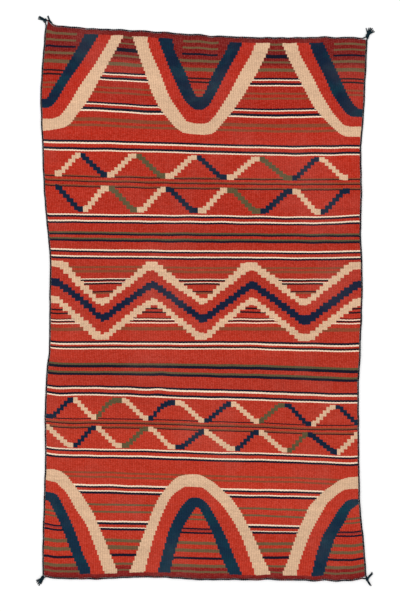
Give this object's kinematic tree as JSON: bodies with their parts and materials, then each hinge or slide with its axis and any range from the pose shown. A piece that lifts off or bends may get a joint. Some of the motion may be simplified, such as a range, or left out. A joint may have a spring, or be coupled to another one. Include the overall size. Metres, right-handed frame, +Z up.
{
  "type": "navajo rug",
  "caption": "Flat woven wool rug with stripes, stepped zigzags and diamonds, edge cords and corner tassels.",
  "frame": {"origin": "on the surface that the rug lies on, under the middle of the whole rug's outline", "axes": "+Z up out of the face that shows, +X to the right-hand side, +Y along the rug to its top end"},
  "size_m": [0.8049, 1.3547, 0.0056],
  "materials": {
    "woven_wool": "matte weft-faced wool in red, cream, dark blue, green and brown",
    "cord_yarn": "matte two-ply wool yarn, dark blue",
    "tassel_yarn": "matte frayed wool yarn, dark blue"
  },
  "bodies": {
    "root": {"tapestry_web": "woven_wool", "end_cord_top": "cord_yarn", "end_cord_bottom": "cord_yarn", "side_cord_left": "cord_yarn", "side_cord_right": "cord_yarn", "tassel_top_left": "tassel_yarn", "tassel_top_right": "tassel_yarn", "tassel_bottom_left": "tassel_yarn", "tassel_bottom_right": "tassel_yarn"}
  },
  "joints": []
}
